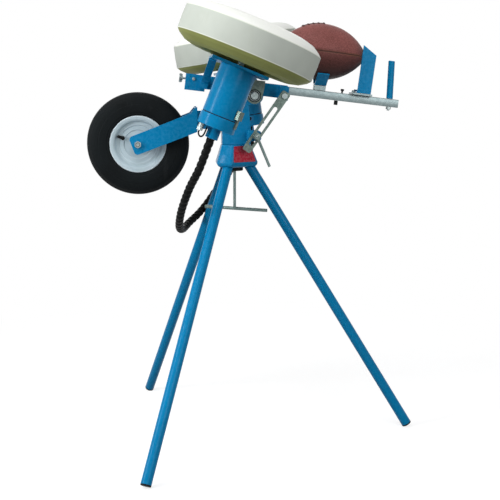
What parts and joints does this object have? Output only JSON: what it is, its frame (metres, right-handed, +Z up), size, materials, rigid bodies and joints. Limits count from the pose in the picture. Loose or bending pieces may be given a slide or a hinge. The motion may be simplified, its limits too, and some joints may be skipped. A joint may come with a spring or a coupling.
{
  "type": "football throwing machine",
  "caption": "Ball throwing machine: a tripod, a swivelling neck with a transport wheel on a fork, and a tilting head with skewed throwing wheels over motors and a sliding ball cradle.",
  "frame": {"origin": "on the floor, under the middle of the whole machine's box", "axes": "+Z up; the balls leave towards -X, and the push handle is at the +X end; +Y points away from the side that carries the slotted link"},
  "size_m": [1.0416, 1.0138, 1.3565],
  "materials": {
    "blue": "smooth gloss powder coat",
    "zinc": "dull zinc plate",
    "cream": "pale matt rubber",
    "tyre": "black road rubber",
    "white": "pale grey enamel",
    "black": "matt black",
    "leather": "pebbled brown leather",
    "red": "bare red enamelled plate"
  },
  "bodies": {
    "tripod": {"collar": "blue", "leg_rear": "blue", "leg_near_front": "blue", "leg_far_front": "blue", "foot_plug_rear": "black", "foot_plug_near_front": "black", "foot_plug_far_front": "black", "label_plate": "red", "friction_disc": "black"},
    "lock_tee": {"lock_tee": "zinc"},
    "neck": {"neck": "blue", "pivot_bolt": "zinc", "pivot_nut": "zinc", "clamp_stud": "zinc", "wheel_fork": "blue", "axle_bolt": "zinc", "axle_nut": "zinc"},
    "transport_wheel": {"transport_tyre": "tyre", "transport_rim": "white", "tyre_valve": "black"},
    "clamp_lever": {"clamp_lever": "zinc"},
    "head": {"beam": "blue", "front_shoe": "blue", "end_plate": "blue", "shoe_bolt": "zinc", "pivot_saddle": "zinc", "link_bracket": "blue", "link_pin": "zinc", "crosshead": "blue", "near_motor": "blue", "near_motor_cap": "blue", "far_motor": "blue", "far_motor_cap": "blue", "terminal_box": "zinc", "cable_gland": "zinc", "motor_lead": "black", "harness": "black"},
    "link": {"slotted_link": "zinc"},
    "wing_screw": {"wing_screw": "zinc"},
    "near_throwing_wheel": {"near_wheel_tyre": "cream", "near_wheel_rim": "white", "near_wheel_disc": "white", "near_spindle": "zinc"},
    "far_throwing_wheel": {"far_wheel_tyre": "cream", "far_wheel_rim": "white", "far_wheel_disc": "white", "far_spindle": "zinc"},
    "rail": {"rail": "zinc", "front_pad": "zinc", "front_rest": "blue", "slide_plate": "zinc", "back_rest": "blue", "push_handle": "blue", "handle_nut": "black", "stop_bolt": "black", "rail_peg": "black"},
    "football": {"football": "leather"}
  },
  "joints": [
    {"name": "swivel", "type": "hinge", "parent": "tripod", "child": "neck", "pos_m": [-0.06175, 0, 0.93428], "axis": [0, 0, 1], "range_deg": [-120, 120]},
    {"name": "lock_tee_turn", "type": "hinge", "parent": "tripod", "child": "lock_tee", "pos_m": [-0.06175, 0, 0.73108], "axis": [0, 0, 1], "range_deg": [-180, 180]},
    {"name": "transport_wheel_spin", "type": "hinge", "parent": "neck", "child": "transport_wheel", "pos_m": [-0.36225, 0, 0.93758], "axis": [0, 1, 0], "continuous": true},
    {"name": "clamp_lever_turn", "type": "hinge", "parent": "neck", "child": "clamp_lever", "pos_m": [0.00095, 0, 0.96288], "axis": [0, 1, 0], "range_deg": [-45, 90]},
    {"name": "tilt", "type": "hinge", "parent": "neck", "child": "head", "pos_m": [-0.00175, 0, 1.08458], "axis": [0, 1, 0], "range_deg": [-10, 35], "deforming": ["harness"]},
    {"name": "link_swing", "type": "hinge", "parent": "head", "child": "link", "pos_m": [0.08696, 0, 1.08448], "axis": [0, 1, 0], "range_deg": [-24.7, 7.1]},
    {"name": "wing_screw_turn", "type": "hinge", "parent": "head", "child": "wing_screw", "pos_m": [-0.21344, 0, 1.13782], "axis": [0.993, 0, -0.1184], "range_deg": [-180, 180]},
    {"name": "near_wheel_spin", "type": "hinge", "parent": "head", "child": "near_throwing_wheel", "pos_m": [-0.03698, -0.272, 1.23683], "axis": [0.3778, 0, 0.9259], "continuous": true},
    {"name": "far_wheel_spin", "type": "hinge", "parent": "head", "child": "far_throwing_wheel", "pos_m": [-0.03698, 0.272, 1.23683], "axis": [-0.1495, 0, 0.9888], "continuous": true},
    {"name": "rail_slide", "type": "slide", "parent": "head", "child": "rail", "axis": [-0.993, 0, 0.1184], "range_m": [0, 0.1]},
    {"name": "ball_lift", "type": "slide", "parent": "rail", "child": "football", "axis": [0.1184, 0, 0.993], "range_m": [0, 0.26]}
  ],
  "couplings": [
    {"joint": "link_swing", "follows": "tilt", "ratio": -0.704}
  ]
}
